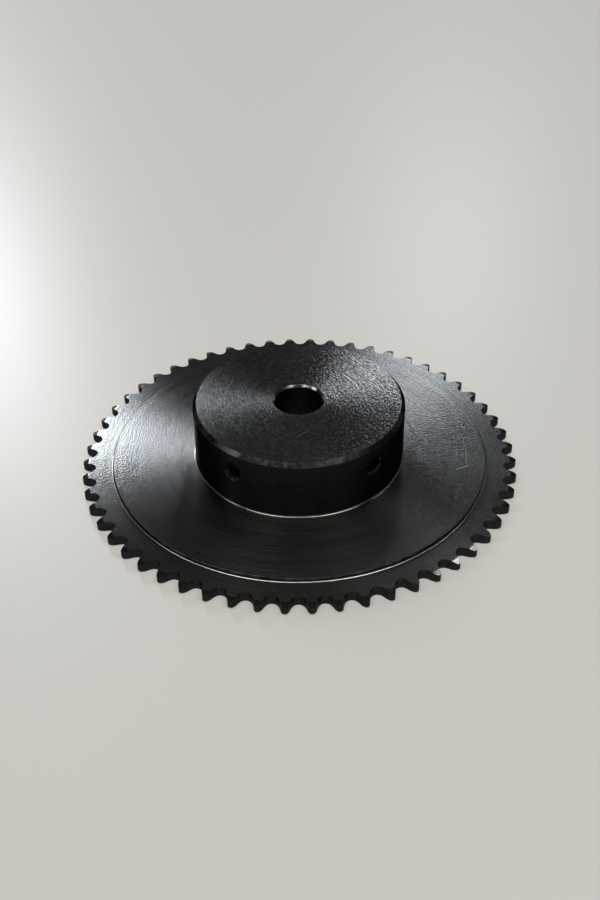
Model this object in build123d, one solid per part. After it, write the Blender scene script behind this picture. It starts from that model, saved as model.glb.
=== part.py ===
"""Roller chain sprocket with a hub on one side, turned and hobbed from one piece of steel.

The axis of the bore is Z, the flat back face lies at Z = 0 and the hub stands up from it.
A tooth is centred on +X. Lengths are in millimetres and angles in degrees.
"""
from build123d import *
from math import acos, cos, degrees, radians, sin, tan
import os

# Chain that the teeth take
chain_pitch = 9.525
roller_diameter = 5.08
tooth_count = 56
seat_allowance = 0.0762

# Toothed rim, its teeth bevelled on both faces
tooth_width = 4.3
bevel_height = 2.4
bevel_angle = 14.0

# Web between the rim and the hub, proud of the rim's face and clear of the chain's side plates.
# The tool leaves a narrow slope in the root corners of the web and of the hub.
chain_clearance = 6.9
web_rise = 1.6
web_root_relief = 0.6
web_edge_break = 0.25

# Hub
hub_diameter = 84.0
hub_projection = 25.0
hub_root_relief = 0.6
hub_edge_chamfer = 1.5

# Finished plain bore
bore_diameter = 19.05
bore_chamfer = 0.8

# Two holes for 5/16-18 set screws, through the hub's wall, at their tap drill's size
tap_drill_diameter = 6.5
screw_countersink_diameter = 8.4
screw_countersink_angle = 90.0
screw_setback = 9.5
screw_spacing = 80.0

# How far the outline of the teeth runs past the blank at each end
overrun = 1.0

# Standard tooth form, worked out from the chain
half_step = 180 / tooth_count
pitch_radius = chain_pitch / 2 / sin(radians(half_step))
tip_radius = chain_pitch * (0.6 + 1 / tan(radians(half_step))) / 2
seat_radius = (1.005 * roller_diameter + seat_allowance) / 2
root_radius = pitch_radius - seat_radius
seat_angle = 35 + 60 / tooth_count
working_angle = 18 - 56 / tooth_count
topping_angle = 17 - 64 / tooth_count
working_offset = 0.8 * roller_diameter
working_radius = working_offset + seat_radius
topping_offset = 1.4 * roller_diameter
topping_radius = (
    working_offset * cos(radians(working_angle))
    + topping_offset * cos(radians(topping_angle))
    - working_radius
)
flat_length = topping_offset * sin(radians(topping_angle)) - working_offset * sin(radians(working_angle))

# Levels and radii that follow from the sizes above
web_radius = root_radius - chain_clearance
hub_radius = hub_diameter / 2
bore_radius = bore_diameter / 2
web_face = tooth_width + web_rise
hub_face = web_face + hub_projection
screw_level = hub_face - screw_setback


def turned_blank():
    """Disc, web, hub and bore as they leave the lathe, revolved from half of their section."""
    flat_radius = tip_radius - bevel_height
    bevel_depth = bevel_height * tan(radians(bevel_angle))
    with BuildPart() as blank:
        with BuildSketch(Plane.XZ) as half_section:
            with BuildLine():
                Polyline(
                    (bore_radius, 0),
                    (flat_radius, 0),
                    (tip_radius, bevel_depth),
                    (tip_radius, tooth_width - bevel_depth),
                    (flat_radius, tooth_width),
                    (web_radius, tooth_width),
                    (web_radius, web_face),
                    (hub_radius, web_face),
                    (hub_radius, hub_face),
                    (bore_radius, hub_face),
                    (bore_radius, 0),
                )
            make_face()
            chamfer(corner_at(half_section, web_radius, tooth_width), web_root_relief)
            chamfer(corner_at(half_section, hub_radius, web_face), hub_root_relief)
            chamfer(corner_at(half_section, web_radius, web_face), web_edge_break)
            chamfer(corner_at(half_section, hub_radius, hub_face), hub_edge_chamfer)
            chamfer(corner_at(half_section, bore_radius, hub_face), bore_chamfer)
            chamfer(corner_at(half_section, bore_radius, 0), bore_chamfer)
        revolve(axis=Axis.Z)
    return blank.part


def corner_at(half_section, radius, level):
    """Corner that the half section has now, nearest to a radius and a level."""
    return half_section.vertices().sort_by_distance((radius, level))[0]


def tooth_gap():
    """Outline of one gap, centred on +X, from the middle of one tooth to the middle of the next.

    The roller's seat runs on each side into a working arc, a short flat and a topping arc,
    each tangent to the last, and the topping arcs of two gaps meet in the middle of a tooth.
    """
    half_seat = 90 - seat_angle
    topping_sweep = degrees(acos((topping_offset - chain_pitch / 2) / topping_radius)) - topping_angle
    with BuildLine() as gap:
        seat = CenterArc((pitch_radius, 0), seat_radius, 180 - half_seat, 2 * half_seat)
        working = JernArc(seat @ 1, seat % 1, working_radius, working_angle)
        flat = PolarLine(working @ 1, flat_length, direction=working % 1)
        topping = JernArc(flat @ 1, flat % 1, topping_radius, -topping_sweep)
        mirror((working, flat, topping), about=Plane.XZ)
    return gap.line


def sprocket():
    """Blank with its teeth hobbed and its set-screw holes drilled and countersunk."""
    with BuildPart() as part:
        add(turned_blank())
        with BuildSketch(Plane.XY.offset(-overrun)):
            with BuildLine():
                gap = tooth_gap()
                with PolarLocations(0, tooth_count, start_angle=half_step):
                    add(gap)
            make_face()
        extrude(amount=hub_face + 2 * overrun, mode=Mode.INTERSECT)

        for side in (-1, 1):
            around_bore = Plane.XY.rotated((0, 0, -90 + side * screw_spacing / 2))
            outward = around_bore.x_dir
            with Locations(Plane(origin=outward * hub_radius + Vector(0, 0, screw_level), z_dir=outward)):
                CounterSinkHole(
                    radius=tap_drill_diameter / 2,
                    counter_sink_radius=screw_countersink_diameter / 2,
                    depth=hub_radius,
                    counter_sink_angle=screw_countersink_angle,
                )
    return part.part


if __name__ == "__main__":
    os.makedirs("parts", exist_ok=True)
    solid = sprocket()
    solid.label = "sprocket"
    export_step(solid, "parts/sprocket.step")
    print(f"sprocket: {solid.volume / 1000:.1f} cm3, tip diameter {2 * tip_radius:.2f} mm")
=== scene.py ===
import bmesh
import bpy
from math import atan2, cos, degrees, floor, hypot, pi, radians, sin, sqrt, tan
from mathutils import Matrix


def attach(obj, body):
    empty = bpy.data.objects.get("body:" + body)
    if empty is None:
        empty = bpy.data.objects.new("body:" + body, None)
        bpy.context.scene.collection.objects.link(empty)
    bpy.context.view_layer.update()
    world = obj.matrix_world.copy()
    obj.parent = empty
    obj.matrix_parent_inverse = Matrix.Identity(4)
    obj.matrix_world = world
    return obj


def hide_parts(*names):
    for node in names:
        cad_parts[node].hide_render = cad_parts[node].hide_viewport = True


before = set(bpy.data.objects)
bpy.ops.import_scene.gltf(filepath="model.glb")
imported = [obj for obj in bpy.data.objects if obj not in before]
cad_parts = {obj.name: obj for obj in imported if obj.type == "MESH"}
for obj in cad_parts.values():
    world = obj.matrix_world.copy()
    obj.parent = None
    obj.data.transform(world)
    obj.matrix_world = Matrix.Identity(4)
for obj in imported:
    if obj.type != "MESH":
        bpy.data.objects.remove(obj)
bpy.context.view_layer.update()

# The sprocket is one piece of medium carbon steel. Its blank is turned in a lathe to a disc with
# a raised web and a hub, bored and chamfered, and the teeth are hobbed round the disc.
# Sizes are in millimetres and angles in degrees, as in the part's source.
chain_pitch = 9.525
roller_diameter = 5.08
seat_allowance = 0.0762
tooth_count = 56
half_step = 180 / tooth_count
pitch_radius = chain_pitch / 2 / sin(radians(half_step))
tip_radius = chain_pitch * (0.6 + 1 / tan(radians(half_step))) / 2
seat_radius = (1.005 * roller_diameter + seat_allowance) / 2
root_radius = pitch_radius - seat_radius

rim_face = 4.3
bevel_start = tip_radius - 2.4
bevel_slope = tan(radians(14))
web_face = 5.9
web_radius = root_radius - 6.9
web_edge_break = 0.4
hub_face = 30.9
hub_radius = 42
hub_chamfer = 1.5
bore_radius = 9.525
bore_chamfer = 0.8
hub_root_radius = 0.6
web_root_radius = 0.3

# Radii between the ends of each flat face, where its rows of points lie
rim_rows = (80.4, 78.4)
web_rows = (70, 64, 58, 52, 47)
hub_end_rows = (34, 27, 20)
back_rows = (30, 46, 62, 76)
step_down = 14

# Columns of points round the axis: eight to a tooth on the disc and hub, two to a tooth in the bore
columns_per_tooth = 8
column_step = 2 * half_step / columns_per_tooth
fine_angles = [i * column_step for i in range(columns_per_tooth * tooth_count)]
bore_column_step = 4 * column_step
bore_angles = fine_angles[::4]

# One finish for each way that the steel was cut
RIM, WEB, HUB_SIDE, HUB_END, EDGE, BORE, TOOTH, THREAD, BEVEL, ROOT, WEB_ROOT, BACK = range(12)

sprocket_mesh = bmesh.new()


def at(radius, angle, level):
    """Point at a radius and an angle round the bore's axis."""
    return (radius * cos(radians(angle)), radius * sin(radians(angle)), level)


def skin(rows, finish, closed=True, left_out=None):
    """Joins neighbouring rows of points with four-sided faces."""
    corners = [[sprocket_mesh.verts.new(point) for point in row] for row in rows]
    count = len(rows[0])
    for k in range(len(rows) - 1):
        for i in range(count if closed else count - 1):
            if left_out and left_out(k, i):
                continue
            j = (i + 1) % count
            loop = (corners[k][i], corners[k][j], corners[k + 1][j], corners[k + 1][i])
            sprocket_mesh.faces.new(loop).material_index = finish


def turn(section, finish, angles=fine_angles):
    """Surface that a lathe tool leaves along a run of (radius, level) points."""
    skin([[at(radius, angle, level) for angle in angles] for radius, level in section], finish)


def corner_round(wall, level, round_radius, steps=6):
    """Rounded root of a wall at a radius, where it rises from a level."""
    turns = [-pi / 2 - i * pi / 2 / steps for i in range(steps + 1)]
    return [
        (wall + round_radius * (1 + cos(turn_angle)), level + round_radius * (1 + sin(turn_angle)))
        for turn_angle in turns
    ]


# Disc, web and hub, from the rim inwards
rim_inner = web_radius + web_root_radius
turn([(r, rim_face) for r in (root_radius, *rim_rows, rim_inner)], RIM)
# The web's root corner takes a far brighter colour than the oxide round it: a painted highlight line
# along the step.
turn(corner_round(web_radius, rim_face, web_root_radius), WEB_ROOT)
turn(
    [
        (web_radius, rim_face + web_root_radius),
        (web_radius, web_face - web_edge_break),
        (web_radius - web_edge_break, web_face),
    ],
    EDGE,
)
web_inner = hub_radius + hub_root_radius
turn([(r, web_face) for r in (web_radius - web_edge_break, *web_rows, web_inner)], WEB)
# The hub's root corner takes a lighter colour than the faces: a painted highlight line round the hub's
# base.
turn(corner_round(hub_radius, web_face, hub_root_radius), ROOT)
turn([(hub_radius, hub_face - hub_chamfer), (hub_radius - hub_chamfer, hub_face)], EDGE)
turn([(r, hub_face) for r in (hub_radius - hub_chamfer, *hub_end_rows, step_down)], HUB_END)

# The end faces step down to the bore's fewer columns, then come the bore's two chamfers
back_face = 0
for level, finish in ((hub_face, HUB_END), (back_face, BACK)):
    for i, angle in enumerate(bore_angles):
        outer = [at(step_down, fine_angles[(4 * i + k) % len(fine_angles)], level) for k in range(5)]
        inner = [at(bore_radius + bore_chamfer, angle + bore_column_step * k, level) for k in (1, 0)]
        corners = [sprocket_mesh.verts.new(point) for point in outer + inner]
        sprocket_mesh.faces.new(corners).material_index = finish
# The bore's chamfers take the same lighter colour, a painted highlight.
for mouth, throat in ((hub_face, hub_face - bore_chamfer), (back_face, bore_chamfer)):
    turn([(bore_radius + bore_chamfer, mouth), (bore_radius, throat)], ROOT, bore_angles)
turn([(r, back_face) for r in (step_down, *back_rows, root_radius)], BACK)


# The teeth. The outline of half a gap starts at its root and follows the standard form: the
# roller's seat, the working arc, a short flat and the topping arc, each tangent to the last.
def half_gap():
    """Outline from the root to the tip as (radius, angle from the gap's middle)."""
    seat_turn = 90 - (35 + 60 / tooth_count)
    working_turn = 18 - 56 / tooth_count
    topping_lead = 17 - 64 / tooth_count
    working_offset = 0.8 * roller_diameter
    topping_offset = 1.4 * roller_diameter
    working_radius = working_offset + seat_radius
    topping_radius = (
        working_offset * cos(radians(working_turn))
        + topping_offset * cos(radians(topping_lead))
        - working_radius
    )
    flat = topping_offset * sin(radians(topping_lead)) - working_offset * sin(radians(working_turn))
    fine_step = 0.02
    x, y, heading = root_radius, 0.0, 90.0
    outline = [(x, y)]
    runs = (
        (radians(seat_turn) * seat_radius, -seat_radius),
        (radians(working_turn) * working_radius, -working_radius),
        (flat, None),
        (topping_radius, topping_radius),
    )
    for length, bend in runs:
        steps = int(length / fine_step) + 1
        step = length / steps
        sweep = degrees(step / bend) if bend else 0
        for _ in range(steps):
            heading += sweep / 2
            x += step * cos(radians(heading))
            y += step * sin(radians(heading))
            heading += sweep / 2
            outline.append((x, y))
    return [(hypot(x, y), degrees(atan2(y, x))) for x, y in outline]


gap_outline = half_gap()


def gap_angle(radius):
    """Half of the gap's opening at a radius."""
    for (r0, a0), (r1, a1) in zip(gap_outline, gap_outline[1:]):
        if r0 <= radius <= r1:
            return a0 + (a1 - a0) * (radius - r0) / (r1 - r0)
    return 0.0


def tooth_level(radius):
    """Height of the tooth's upper face, which slopes down from the start of the bevel."""
    return rim_face - max(0, radius - bevel_start) * bevel_slope


seat_depths = (0, 0.03, 0.12, 0.27, 0.48, 0.74, 1.05)
flank_radii = [83.8, 84.3, 84.8, bevel_start, 85.7, 86.1, 86.5, 86.9, 87.3, tip_radius]
tooth_radii = [root_radius + depth for depth in seat_depths] + flank_radii
flat_rows = tooth_radii.index(bevel_start) + 1
across = [2 * i / columns_per_tooth - 1 for i in range(columns_per_tooth + 1)]
halves = [half_step - gap_angle(radius) for radius in tooth_radii]
for tooth in range(tooth_count):
    middle = 2 * half_step * tooth
    upper = [
        [at(r, middle + u * half, tooth_level(r)) for u in across]
        for r, half in zip(tooth_radii, halves)
    ]
    lower = [[(x, y, rim_face - z) for x, y, z in row] for row in upper]
    for face in (upper, lower):
        skin(face[:flat_rows], RIM, closed=False)
        skin(face[flat_rows - 1 :], BEVEL, closed=False)
    for side in (0, -1):
        skin([[row[side] for row in upper], [row[side] for row in lower]], TOOTH, closed=False)
    skin([upper[-1], lower[-1]], TOOTH, closed=False)


# Two holes are drilled through the hub's wall, countersunk and tapped 5/16-18 for set screws,
# 80 degrees apart. They are open: no screw is in them.
tap_drill_radius = 3.25
thread_radius = 3.97
thread_pitch = 25.4 / 18
countersink_radius = 4.2
screw_level = 21.4
screw_angles = (-130, -50)
points_round = 64
thread_fade = 0.8
thread_half_angle = radians(30)
half_root_flat = thread_pitch / 16
thread_phases = (0, 0.143, 0.29, 0.4375, 0.5625, 0.71, 0.857)
patch_steps = (0, 0.3, 0.55, 0.75, 0.9, 1)


def wall_depth(wall_radius, radius, turn_angle):
    """Distance from the bore's axis, along the hole, at which the hole meets a round wall."""
    return sqrt(wall_radius**2 - (radius * cos(turn_angle)) ** 2)


def mouth_radius(turn_angle):
    """Radius at which the countersink comes out of the hub's side."""
    radius = countersink_radius
    for _ in range(6):
        radius = countersink_radius - (hub_radius - wall_depth(hub_radius, radius, turn_angle))
    return radius


def cut_radius(depth, turn_angle):
    """Radius of the tapped wall: a thread with its crests at the tap drill's size."""
    phase = (depth / thread_pitch - turn_angle / (2 * pi)) % 1
    from_root = abs(phase - 0.5) * thread_pitch
    thread = thread_radius - max(0, from_root - half_root_flat) / tan(thread_half_angle)
    thread = max(tap_drill_radius, thread)
    start = wall_depth(bore_radius, tap_drill_radius, turn_angle)
    fade = min(1, max(0, (depth - start) / thread_fade))
    thread = tap_drill_radius + (thread - tap_drill_radius) * fade
    return max(thread, countersink_radius - (hub_radius - depth))


def in_hole(hole_angle, radius, turn_angle, depth):
    """Point at a radius and a turn round the hole's own axis, at a depth along it."""
    aside = radius * cos(turn_angle)
    c, s = cos(radians(hole_angle)), sin(radians(hole_angle))
    return (depth * c - aside * s, depth * s + aside * c, screw_level + radius * sin(turn_angle))


def drill_wall(wall_radius, levels, angles, block_rows, block_columns, hole_rim, finish):
    """Round wall of the hub or the bore, with a patch of faces round each hole's edge."""
    step = angles[1] - angles[0]
    starts = [round((a % 360) / step) - block_columns // 2 for a in screw_angles]
    first, last = block_rows

    def inside_block(k, i):
        return first <= k < last and any(start <= i < start + block_columns for start in starts)

    skin([[at(wall_radius, a, z) for a in angles] for z in levels], finish, left_out=inside_block)
    for hole_angle, start in zip(screw_angles, starts):
        left, right = start * step, (start + block_columns) * step
        border = [(left + i * step, levels[first]) for i in range(block_columns)]
        border += [(right, levels[k]) for k in range(first, last)]
        border += [(right - i * step, levels[last]) for i in range(block_columns)]
        border += [(left, levels[k]) for k in range(last, first, -1)]
        hole_edge = []
        for i in range(points_round):
            turn_angle = 2 * pi * (i - block_columns / 2) / points_round - pi / 2
            radius = hole_rim(turn_angle)
            depth = wall_depth(wall_radius, radius, turn_angle)
            away = degrees(atan2(radius * cos(turn_angle), depth))
            hole_edge.append((hole_angle + away, screw_level + radius * sin(turn_angle)))
        rings = []
        for part in patch_steps:
            ring = []
            for (angle, level), (edge_angle, edge_level) in zip(border, hole_edge):
                swing = (edge_angle - angle + 180) % 360 - 180
                climb = edge_level - level
                ring.append(at(wall_radius, angle + swing * part, level + climb * part))
            rings.append(ring)
        skin(rings, finish)


def tap_drill_edge(turn_angle):
    """Radius at which the hole comes out in the bore, past the end of the thread."""
    return tap_drill_radius


def tapped_wall(hole_angle):
    """Wall of one hole from the bore to its countersunk mouth, with rows that follow the thread."""
    first_turn = floor(bore_radius * 0.9 / thread_pitch) - 2
    last_turn = floor(hub_radius / thread_pitch) + 2
    turns = range(first_turn, last_turn)
    rows = []
    for phase in [whole + part for whole in turns for part in thread_phases]:
        row = []
        for i in range(points_round + 1):
            turn_angle = 2 * pi * i / points_round
            low = wall_depth(bore_radius, tap_drill_radius, turn_angle)
            high = wall_depth(hub_radius, mouth_radius(turn_angle), turn_angle)
            depth = min(high, max(low, (phase + turn_angle / (2 * pi)) * thread_pitch))
            row.append(in_hole(hole_angle, cut_radius(depth, turn_angle), turn_angle, depth))
        rows.append(row)
    skin(rows, THREAD, closed=False)


# A patch takes these rows and columns of a wall, so that as many points lie on its border as on a
# hole's edge.
hub_patch_levels = [15.4 + i for i in range(13)]
hub_patch_rows = (3, 15)
hub_patch_columns = 20
hub_levels = [web_face + hub_root_radius, 9, 12, *hub_patch_levels, hub_face - hub_chamfer]
bore_patch_levels = [15.1 + 0.9 * i for i in range(15)]
bore_patch_rows = (2, 16)
bore_patch_columns = 18
bore_levels = [bore_chamfer, 8, *bore_patch_levels, hub_face - bore_chamfer]
drill_wall(
    hub_radius, hub_levels, fine_angles, hub_patch_rows, hub_patch_columns, mouth_radius, HUB_SIDE
)
drill_wall(
    bore_radius, bore_levels, bore_angles, bore_patch_rows, bore_patch_columns, tap_drill_edge, BORE
)
for hole_angle in screw_angles:
    tapped_wall(hole_angle)

# The surfaces become one closed skin, in metres. The turned corners are broken slightly, as after
# tumbling, and those of the teeth and the thread stay sharp.
same_place = 0.002
metres = 0.001
bevel_from = radians(40)
edge_break = 0.00006
bmesh.ops.remove_doubles(sprocket_mesh, verts=sprocket_mesh.verts, dist=same_place)
bmesh.ops.scale(sprocket_mesh, vec=(metres, metres, metres), verts=sprocket_mesh.verts)
bmesh.ops.recalc_face_normals(sprocket_mesh, faces=sprocket_mesh.faces)
broken_edge = sprocket_mesh.edges.layers.float.new("bevel_weight_edge")
for edge in sprocket_mesh.edges:
    if edge.is_manifold and edge.calc_face_angle() > bevel_from:
        cuts = {face.material_index for face in edge.link_faces}
        if THREAD in cuts or TOOTH in cuts:
            edge.smooth = False
        else:
            edge[broken_edge] = 1
for face in sprocket_mesh.faces:
    face.smooth = True
open_edges = sum(not edge.is_manifold for edge in sprocket_mesh.edges)
print("sprocket faces", len(sprocket_mesh.faces), "open edges", open_edges)

sprocket_data = bpy.data.meshes.new("sprocket_body")
sprocket_mesh.to_mesh(sprocket_data)
sprocket_mesh.free()
sprocket = bpy.data.objects.new("sprocket_body", sprocket_data)
bpy.context.scene.collection.objects.link(sprocket)
breaks = sprocket.modifiers.new("broken edges", "BEVEL")
breaks.limit_method = "WEIGHT"
breaks.width = edge_break
breaks.segments = 2
breaks.use_clamp_overlap = False
breaks.material = EDGE
weighted = sprocket.modifiers.new("flat faces stay flat", "WEIGHTED_NORMAL")
weighted.keep_sharp = True


# The finish is black oxide, which darkens the steel and leaves every tool mark in sight. The marks
# run round the axis, so that light spreads across them, and a fine grain breaks it into specks.
oxide_tint = (1, 0.985, 0.96)
noise_low = 0.35
noise_high = 0.65
roughness_swing = 0.03
quarter_turn = 0.25
per_metre = 1000


def oxide_finish(
    name,
    dark=0.02,
    bright=0.045,
    roughness=0.35,
    anisotropy=0.6,
    streak_length=30,
    streak_width=0.5,
    streak_amount=0.3,
    grain_length=0.9,
    grain_width=0.9,
    bump=0.00005,
    edge_tint=1,
):
    """Black oxide over tool marks round the axis. Marks are in millimetres, the bump in metres."""
    material = bpy.data.materials.new(name)
    material.use_nodes = True
    nodes, links = material.node_tree.nodes, material.node_tree.links
    shader = nodes["Principled BSDF"]
    shader.inputs["Metallic"].default_value = 1
    shader.inputs["Anisotropic"].default_value = anisotropy
    shader.inputs["Anisotropic Rotation"].default_value = quarter_turn
    shader.inputs["Specular Tint"].default_value = (edge_tint, edge_tint, edge_tint, 1)

    round_axis = nodes.new("ShaderNodeTangent")
    round_axis.direction_type = "RADIAL"
    round_axis.axis = "Z"
    links.new(round_axis.outputs["Tangent"], shader.inputs["Tangent"])

    place = nodes.new("ShaderNodeTexCoord")
    parts = nodes.new("ShaderNodeSeparateXYZ")
    links.new(place.outputs["Object"], parts.inputs[0])
    flat_place = nodes.new("ShaderNodeVectorMath")
    flat_place.operation = "MULTIPLY"
    flat_place.inputs[1].default_value = (1, 1, 0)
    links.new(place.outputs["Object"], flat_place.inputs[0])
    radius = nodes.new("ShaderNodeVectorMath")
    radius.operation = "LENGTH"
    links.new(flat_place.outputs[0], radius.inputs[0])
    climb = nodes.new("ShaderNodeMath")
    climb.operation = "ADD"
    links.new(radius.outputs["Value"], climb.inputs[0])
    links.new(parts.outputs["Z"], climb.inputs[1])

    def marks(length, width, detail):
        """Noise drawn out round the axis to a length, and as narrow as a width across it."""
        joined = nodes.new("ShaderNodeCombineXYZ")
        links.new(parts.outputs["X"], joined.inputs["X"])
        links.new(parts.outputs["Y"], joined.inputs["Y"])
        links.new(climb.outputs[0], joined.inputs["Z"])
        stretched = nodes.new("ShaderNodeVectorMath")
        stretched.operation = "MULTIPLY"
        stretched.inputs[1].default_value = (per_metre / length, per_metre / length, per_metre / width)
        links.new(joined.outputs[0], stretched.inputs[0])
        noise = nodes.new("ShaderNodeTexNoise")
        noise.inputs["Scale"].default_value = 1
        noise.inputs["Detail"].default_value = detail
        links.new(stretched.outputs[0], noise.inputs["Vector"])
        return noise.outputs["Fac"]

    streaks = marks(streak_length, streak_width, 3)
    grains = marks(grain_length, grain_width, 1)

    mixed = nodes.new("ShaderNodeMix")
    mixed.data_type = "FLOAT"
    mixed.inputs["Factor"].default_value = streak_amount
    links.new(grains, mixed.inputs["A"])
    links.new(streaks, mixed.inputs["B"])
    tone = nodes.new("ShaderNodeValToRGB")
    for stop, position, grey in zip(tone.color_ramp.elements, (noise_low, noise_high), (dark, bright)):
        stop.position = position
        stop.color = (*[grey * tint for tint in oxide_tint], 1)
    links.new(mixed.outputs["Result"], tone.inputs[0])
    links.new(tone.outputs["Color"], shader.inputs["Base Color"])

    rough = nodes.new("ShaderNodeMapRange")
    rough.inputs["From Min"].default_value = noise_low
    rough.inputs["From Max"].default_value = noise_high
    rough.inputs["To Min"].default_value = roughness + roughness_swing
    rough.inputs["To Max"].default_value = roughness - roughness_swing
    links.new(streaks, rough.inputs["Value"])
    links.new(rough.outputs["Result"], shader.inputs["Roughness"])

    relief = nodes.new("ShaderNodeBump")
    relief.inputs["Strength"].default_value = 1
    relief.inputs["Distance"].default_value = bump
    links.new(mixed.outputs["Result"], relief.inputs["Height"])
    links.new(relief.outputs["Normal"], shader.inputs["Normal"])
    return material


# Handling has rubbed the oxide off in a few fine lines.
scratch_half_width = 0.22
rub_roughness = 0.35
bare_steel = (0.7, 0.69, 0.67, 1)


def scratch(material, marks):
    """Fine bright rubs on a finish, each from one point to another, in millimetres."""
    nodes, links = material.node_tree.nodes, material.node_tree.links
    shader = nodes["Principled BSDF"]
    place = nodes.new("ShaderNodeTexCoord")
    flat_place = nodes.new("ShaderNodeVectorMath")
    flat_place.operation = "MULTIPLY"
    flat_place.inputs[1].default_value = (per_metre, per_metre, 0)
    links.new(place.outputs["Object"], flat_place.inputs[0])
    rubbed = None
    for (x0, y0), (x1, y1), strength in marks:
        run = (x1 - x0, y1 - y0, 0)
        from_start = nodes.new("ShaderNodeVectorMath")
        from_start.operation = "SUBTRACT"
        from_start.inputs[1].default_value = (x0, y0, 0)
        links.new(flat_place.outputs[0], from_start.inputs[0])
        along = nodes.new("ShaderNodeVectorMath")
        along.operation = "DOT_PRODUCT"
        along.inputs[1].default_value = run
        links.new(from_start.outputs[0], along.inputs[0])
        part = nodes.new("ShaderNodeMapRange")
        part.inputs["From Max"].default_value = run[0] ** 2 + run[1] ** 2
        links.new(along.outputs["Value"], part.inputs["Value"])
        nearest = nodes.new("ShaderNodeVectorMath")
        nearest.operation = "SCALE"
        nearest.inputs[0].default_value = run
        links.new(part.outputs["Result"], nearest.inputs["Scale"])
        aside = nodes.new("ShaderNodeVectorMath")
        aside.operation = "DISTANCE"
        links.new(from_start.outputs[0], aside.inputs[0])
        links.new(nearest.outputs[0], aside.inputs[1])
        line = nodes.new("ShaderNodeMapRange")
        line.inputs["From Max"].default_value = scratch_half_width
        line.inputs["To Min"].default_value = strength
        line.inputs["To Max"].default_value = 0
        links.new(aside.outputs["Value"], line.inputs["Value"])
        if rubbed:
            most = nodes.new("ShaderNodeMath")
            most.operation = "MAXIMUM"
            links.new(rubbed, most.inputs[0])
            links.new(line.outputs["Result"], most.inputs[1])
            rubbed = most.outputs[0]
        else:
            rubbed = line.outputs["Result"]
    brighter = nodes.new("ShaderNodeMix")
    brighter.data_type = "RGBA"
    tones = [socket for socket in brighter.inputs if socket.type == "RGBA"]
    tones[1].default_value = bare_steel
    links.new(rubbed, brighter.inputs["Factor"])
    links.new(shader.inputs["Base Color"].links[0].from_socket, tones[0])
    mixed_tone = [socket for socket in brighter.outputs if socket.type == "RGBA"][0]
    links.new(mixed_tone, shader.inputs["Base Color"])
    rougher = nodes.new("ShaderNodeMath")
    rougher.operation = "MULTIPLY_ADD"
    rougher.inputs[1].default_value = rub_roughness
    links.new(rubbed, rougher.inputs[0])
    links.new(shader.inputs["Roughness"].links[0].from_socket, rougher.inputs[2])
    links.new(rougher.outputs[0], shader.inputs["Roughness"])


# The faces that are turned flat share one look. The rest have their own cut and shine.
flat_face = {
    "dark": 0.12,
    "bright": 0.18,
    "roughness": 0.23,
    "anisotropy": 0.85,
    "grain_length": 0.85,
    "grain_width": 0.85,
}
finishes = {
    RIM: oxide_finish("black oxide on the rim", **flat_face, bump=0.00006),
    WEB: oxide_finish("black oxide on the web", **flat_face, bump=0.00007),
    BACK: oxide_finish("black oxide on the back", **flat_face, bump=0.00006),
    HUB_SIDE: oxide_finish(
        "black oxide on the hub's side",
        dark=0.024,
        bright=0.03,
        roughness=0.3,
        anisotropy=0.75,
        streak_amount=0.1,
        bump=0.000002,
        edge_tint=0.3,
    ),
    HUB_END: oxide_finish(
        "black oxide on the hub's end",
        dark=0.06,
        bright=0.23,
        roughness=0.218,
        anisotropy=0.67,
        grain_length=1.5,
        grain_width=0.7,
        bump=0.0001,
    ),
    EDGE: oxide_finish(
        "black oxide on turned edges",
        dark=0.015,
        bright=0.07,
        roughness=0.3,
        anisotropy=0.4,
        streak_width=1.5,
        grain_length=3,
        edge_tint=0.3,
    ),
    BORE: oxide_finish("black oxide in the bore"),
    TOOTH: oxide_finish(
        "black oxide on the hobbed flanks",
        bright=0.04,
        roughness=0.38,
        anisotropy=0.2,
        edge_tint=0.5,
    ),
    THREAD: oxide_finish(
        "black oxide in the thread",
        bright=0.04,
        roughness=0.3,
        anisotropy=0.2,
        edge_tint=0.5,
    ),
    BEVEL: oxide_finish(
        "black oxide on the teeth's bevels",
        dark=0.13,
        bright=0.16,
        roughness=0.14,
        anisotropy=0,
        bump=0.00002,
    ),
    # Painted highlight: this lighter colour makes bright lines in the hub's root corner and on the
    # bore's chamfers, not thinner oxide.
    ROOT: oxide_finish(
        "thin oxide in the hub's root corner",
        dark=0.18,
        bright=0.23,
        roughness=0.18,
        anisotropy=0.4,
        bump=0.00002,
    ),
    # Painted highlight: this bright colour stands in for the highlight line along the web's root
    # corner, not for thinner oxide.
    WEB_ROOT: oxide_finish(
        "painted highlight line in the web's root corner",
        dark=0.5,
        bright=0.6,
        roughness=0.24,
        anisotropy=0.4,
        bump=0.00002,
    ),
}
scratch(
    finishes[WEB],
    (
        ((61.5, -17), (66.6, -14.9), 0.35),
        ((67.9, -2.5), (66.3, -12.9), 0.13),
        ((63.7, -4.2), (62.6, -11.5), 0.1),
        ((61.7, -25.5), (58.2, -35.8), 0.12),
    ),
)
scratch(finishes[HUB_END], (((-1.9, -24.5), (2.4, -20.9), 0.2),))
for index in sorted(finishes):
    sprocket_data.materials.append(finishes[index])
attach(sprocket, "root")
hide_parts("sprocket")

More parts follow.
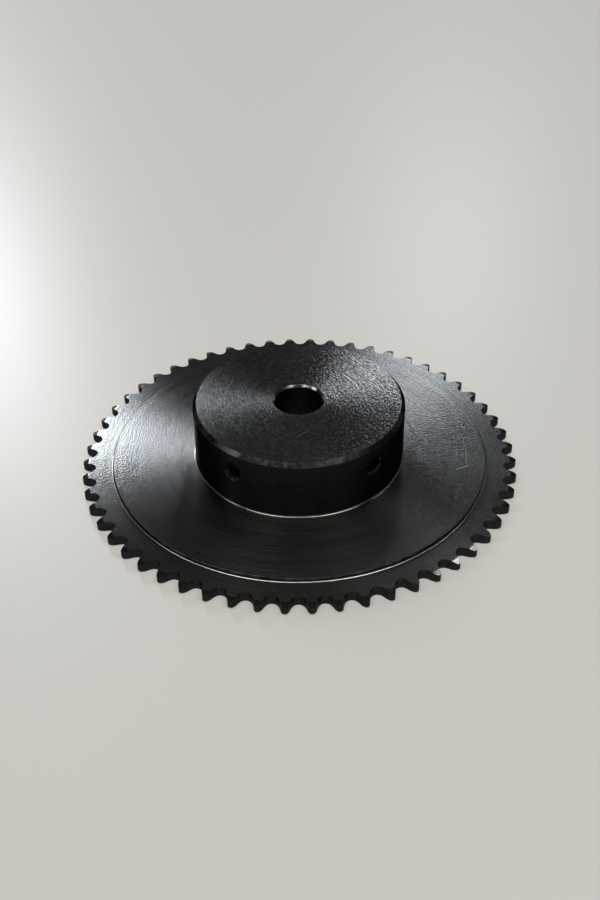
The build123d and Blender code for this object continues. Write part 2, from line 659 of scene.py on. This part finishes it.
# The bench is a plain pale top, far wider than the sprocket that lies flat on it. Half of what
# the camera sees of it is its own even colour, and half is the light and shadow on it.
bench_reach = 6
bench_colour = (0.57, 0.553, 0.518, 1)
bench_roughness = 0.32
even_share = 0.5
bench_gap = 0.00002
bench_corners = [(bench_reach * x, bench_reach * y, 0) for x, y in ((-1, -1), (1, -1), (1, 1), (-1, 1))]
bench_data = bpy.data.meshes.new("bench_top")
bench_data.from_pydata(bench_corners, [], [(0, 1, 2, 3)])
bench = bpy.data.objects.new("bench_top", bench_data)
bench.location.z = -bench_gap
bpy.context.scene.collection.objects.link(bench)
bench_paint = bpy.data.materials.new("pale bench")
bench_paint.use_nodes = True
nodes, links = bench_paint.node_tree.nodes, bench_paint.node_tree.links
bench_shader = nodes["Principled BSDF"]
bench_shader.inputs["Base Color"].default_value = bench_colour
bench_shader.inputs["Roughness"].default_value = bench_roughness
even = nodes.new("ShaderNodeEmission")
even.inputs["Color"].default_value = bench_colour
rays = nodes.new("ShaderNodeLightPath")
seen = nodes.new("ShaderNodeMath")
seen.operation = "MAXIMUM"
links.new(rays.outputs["Is Camera Ray"], seen.inputs[0])
links.new(rays.outputs["Is Glossy Ray"], seen.inputs[1])
seen_or_through = nodes.new("ShaderNodeMath")
seen_or_through.operation = "MAXIMUM"
links.new(seen.outputs[0], seen_or_through.inputs[0])
links.new(rays.outputs["Is Transmission Ray"], seen_or_through.inputs[1])
share = nodes.new("ShaderNodeMath")
share.operation = "MULTIPLY"
share.inputs[1].default_value = even_share
links.new(seen_or_through.outputs[0], share.inputs[0])
bench_mix = nodes.new("ShaderNodeMixShader")
links.new(share.outputs[0], bench_mix.inputs["Fac"])
links.new(bench_shader.outputs[0], bench_mix.inputs[1])
links.new(even.outputs[0], bench_mix.inputs[2])
links.new(bench_mix.outputs[0], nodes["Material Output"].inputs["Surface"])
bench_data.materials.append(bench_paint)

# The room is dim, with pale walls near the horizon.
wall_colour = (0.5, 0.49, 0.47, 1)
ceiling_colour = (0.035, 0.035, 0.035, 1)
wall_top = 0.1
ceiling_start = 0.3
world = bpy.data.worlds.new("dim room")
bpy.context.scene.world = world
world.use_nodes = True
nodes, links = world.node_tree.nodes, world.node_tree.links
place = nodes.new("ShaderNodeTexCoord")
parts = nodes.new("ShaderNodeSeparateXYZ")
links.new(place.outputs["Generated"], parts.inputs[0])
walls = nodes.new("ShaderNodeValToRGB")
walls.color_ramp.elements[0].position = wall_top
walls.color_ramp.elements[0].color = wall_colour
walls.color_ramp.elements[1].position = ceiling_start
walls.color_ramp.elements[1].color = ceiling_colour
links.new(parts.outputs["Z"], walls.inputs[0])
links.new(walls.outputs["Color"], nodes["Background"].inputs["Color"])


def window(name, azimuth, elevation, width, height, watts, colour, distance=2.4):
    """Soft light that faces the sprocket."""
    light = bpy.data.lights.new(name, "AREA")
    light.shape = "RECTANGLE"
    light.size = width
    light.size_y = height
    light.energy = watts
    light.color = colour
    lamp = bpy.data.objects.new(name, light)
    lamp.visible_camera = False
    a, e = radians(azimuth), radians(elevation)
    lamp.location = (distance * cos(e) * cos(a), distance * cos(e) * sin(a), distance * sin(e))
    lamp.rotation_euler = (pi / 2 - e, 0, a + pi / 2)
    bpy.context.scene.collection.objects.link(lamp)


# Two windows behind the bench, weaker light from the side and the front, and lamps on the ceiling
daylight = (0.86, 0.93, 1)
plain_light = (1, 1, 1)
warm_light = (1, 0.98, 0.95)
window("window_left", 109.3, 29, 0.34, 0.5, 19, daylight)
window("window_right", 77.3, 28, 0.34, 0.42, 3.7, daylight)
window("window_side", 187, 42, 0.6, 0.6, 5, plain_light)
window("ceiling_glint", 47, 54, 0.2, 0.34, 2.1, plain_light)
window("window_front", -90, 30, 1, 0.7, 3.5, plain_light)
window("ceiling_left", -145, 68, 1.2, 1.2, 24, warm_light)
window("ceiling_right", -34, 68, 1.2, 1.2, 24, warm_light)

# The camera stands as the photographer did, above and in front of the sprocket.
lens = bpy.data.cameras.new("camera")
lens.sensor_width = 36
lens.lens = 45.71
camera = bpy.data.objects.new("camera", lens)
camera.location = (-0.01685, -0.3684, 0.29041)
camera.rotation_euler = (radians(52.317), radians(0.512), radians(-3.059))
bpy.context.scene.collection.objects.link(camera)
bpy.context.scene.camera = camera
bpy.context.scene.view_settings.view_transform = "Standard"
